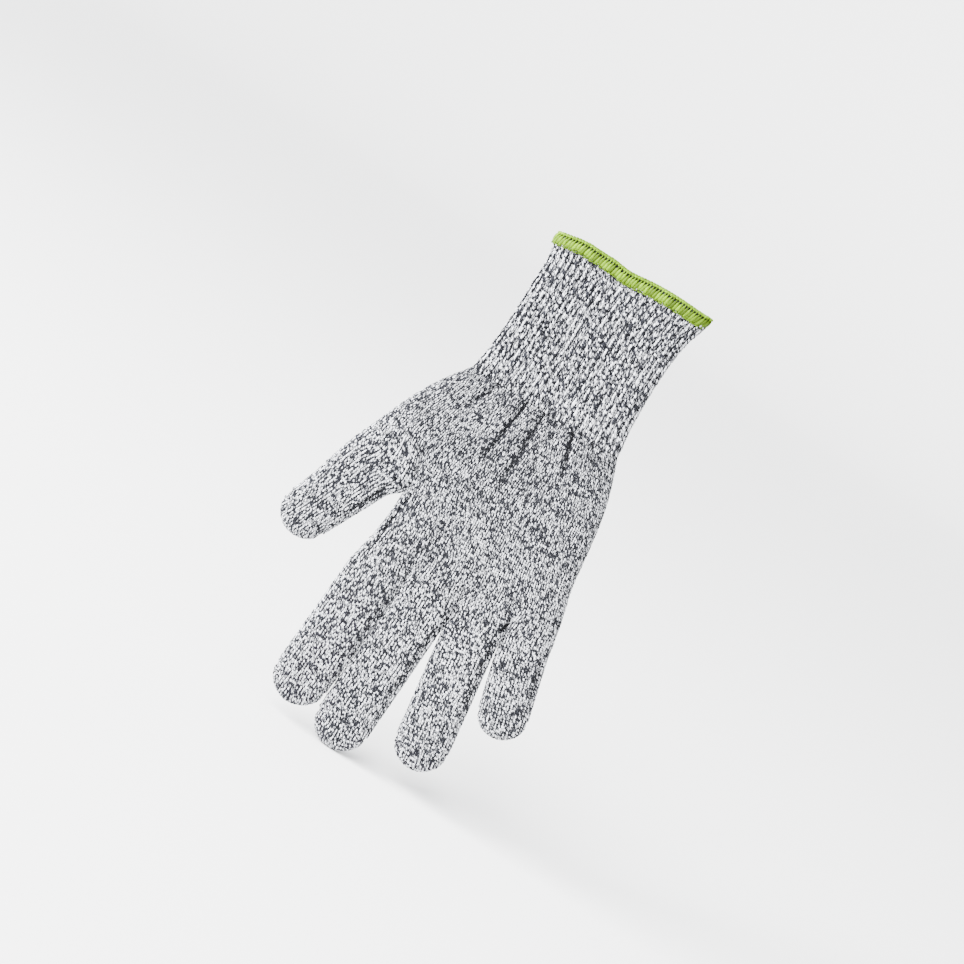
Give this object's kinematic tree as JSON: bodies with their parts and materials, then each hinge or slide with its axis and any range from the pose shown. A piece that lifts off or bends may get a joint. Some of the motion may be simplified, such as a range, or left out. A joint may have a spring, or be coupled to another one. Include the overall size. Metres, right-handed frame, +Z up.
{
  "type": "cut resistant glove",
  "caption": "Seamless knitted work glove in grey melange yarn, with a ribbed elastic cuff and a green overlocked hem; the wrist, fingers and thumb bend.",
  "frame": {"origin": "middle of the hand opening, level with the top of the hem", "axes": "+Z up the wrist, out of the hand opening, with the fingers hanging towards -Z; +X towards the little finger and the thumb on -X; +Y out of the palm, so the back of the hand faces -Y"},
  "size_m": [0.1359, 0.0138, 0.2332],
  "materials": {
    "melange_knit": "black and white melange yarn in a plain knit, matte",
    "green_thread": "textured polyester overlock thread, matte with a faint sheen",
    "elastic_yarn": "white covered elastic yarn, matte"
  },
  "bodies": {
    "cuff": {"rib_cuff": "melange_knit", "cuff_elastic": "elastic_yarn", "hem_upper_looper": "green_thread", "hem_lower_looper": "green_thread", "hem_needle_thread": "green_thread"},
    "palm": {"lower_palm": "melange_knit", "upper_palm": "melange_knit", "index_middle_crotch": "melange_knit", "middle_ring_crotch": "melange_knit", "ring_little_crotch": "melange_knit", "thumb_crotch": "melange_knit"},
    "thumb_root": {"thumb_root": "melange_knit"},
    "thumb_end": {"thumb_end": "melange_knit"},
    "index_root": {"index_root": "melange_knit"},
    "index_mid": {"index_mid": "melange_knit"},
    "index_end": {"index_end": "melange_knit"},
    "middle_root": {"middle_root": "melange_knit"},
    "middle_mid": {"middle_mid": "melange_knit"},
    "middle_end": {"middle_end": "melange_knit"},
    "ring_root": {"ring_root": "melange_knit"},
    "ring_mid": {"ring_mid": "melange_knit"},
    "ring_end": {"ring_end": "melange_knit"},
    "little_root": {"little_root": "melange_knit"},
    "little_mid": {"little_mid": "melange_knit"},
    "little_end": {"little_end": "melange_knit"}
  },
  "joints": [
    {"name": "wrist_bend", "type": "hinge", "parent": "cuff", "child": "palm", "pos_m": [0, 0, -0.067], "axis": [1, 0, 0], "range_deg": [-60, 70]},
    {"name": "thumb_root_bend", "type": "hinge", "parent": "palm", "child": "thumb_root", "pos_m": [-0.04604, 0, -0.11838], "axis": [0.9135, 0, -0.4067], "range_deg": [-10, 45]},
    {"name": "thumb_end_bend", "type": "hinge", "parent": "thumb_root", "child": "thumb_end", "pos_m": [-0.0559, 0, -0.14054], "axis": [0.9135, 0, -0.4067], "range_deg": [0, 55]},
    {"name": "index_root_bend", "type": "hinge", "parent": "palm", "child": "index_root", "pos_m": [-0.0252, 0, -0.1654], "axis": [1, 0, 0], "range_deg": [-15, 70]},
    {"name": "index_mid_bend", "type": "hinge", "parent": "index_root", "child": "index_mid", "pos_m": [-0.02656, 0, -0.18968], "axis": [0.9984, 0, -0.0558], "range_deg": [0, 90]},
    {"name": "index_end_bend", "type": "hinge", "parent": "index_mid", "child": "index_end", "pos_m": [-0.02758, 0, -0.20789], "axis": [0.9984, 0, -0.0558], "range_deg": [0, 45]},
    {"name": "middle_root_bend", "type": "hinge", "parent": "palm", "child": "middle_root", "pos_m": [-0.00147, 0, -0.1654], "axis": [1, 0, 0], "range_deg": [-15, 70]},
    {"name": "middle_mid_bend", "type": "hinge", "parent": "middle_root", "child": "middle_mid", "pos_m": [-0.00237, 0, -0.19251], "axis": [0.9995, 0, -0.0332], "range_deg": [0, 90]},
    {"name": "middle_end_bend", "type": "hinge", "parent": "middle_mid", "child": "middle_end", "pos_m": [-0.00305, 0, -0.21283], "axis": [0.9995, 0, -0.0332], "range_deg": [0, 45]},
    {"name": "ring_root_bend", "type": "hinge", "parent": "palm", "child": "ring_root", "pos_m": [0.02185, 0, -0.1614], "axis": [1, 0, 0], "range_deg": [-15, 70]},
    {"name": "ring_mid_bend", "type": "hinge", "parent": "ring_root", "child": "ring_mid", "pos_m": [0.02553, 0, -0.18633], "axis": [0.9893, 0, 0.1461], "range_deg": [0, 90]},
    {"name": "ring_end_bend", "type": "hinge", "parent": "ring_mid", "child": "ring_end", "pos_m": [0.0283, 0, -0.20503], "axis": [0.9893, 0, 0.1461], "range_deg": [0, 45]},
    {"name": "little_root_bend", "type": "hinge", "parent": "palm", "child": "little_root", "pos_m": [0.04424, 0, -0.1582], "axis": [1, 0, 0], "range_deg": [-15, 70]},
    {"name": "little_mid_bend", "type": "hinge", "parent": "little_root", "child": "little_mid", "pos_m": [0.04819, 0, -0.17271], "axis": [0.965, 0, 0.2622], "range_deg": [0, 90]},
    {"name": "little_end_bend", "type": "hinge", "parent": "little_mid", "child": "little_end", "pos_m": [0.05114, 0, -0.1836], "axis": [0.965, 0, 0.2622], "range_deg": [0, 45]}
  ],
  "couplings": [
    {"joint": "index_end_bend", "follows": "index_mid_bend", "ratio": 0.5},
    {"joint": "middle_end_bend", "follows": "middle_mid_bend", "ratio": 0.5},
    {"joint": "ring_end_bend", "follows": "ring_mid_bend", "ratio": 0.5},
    {"joint": "little_end_bend", "follows": "little_mid_bend", "ratio": 0.5}
  ]
}
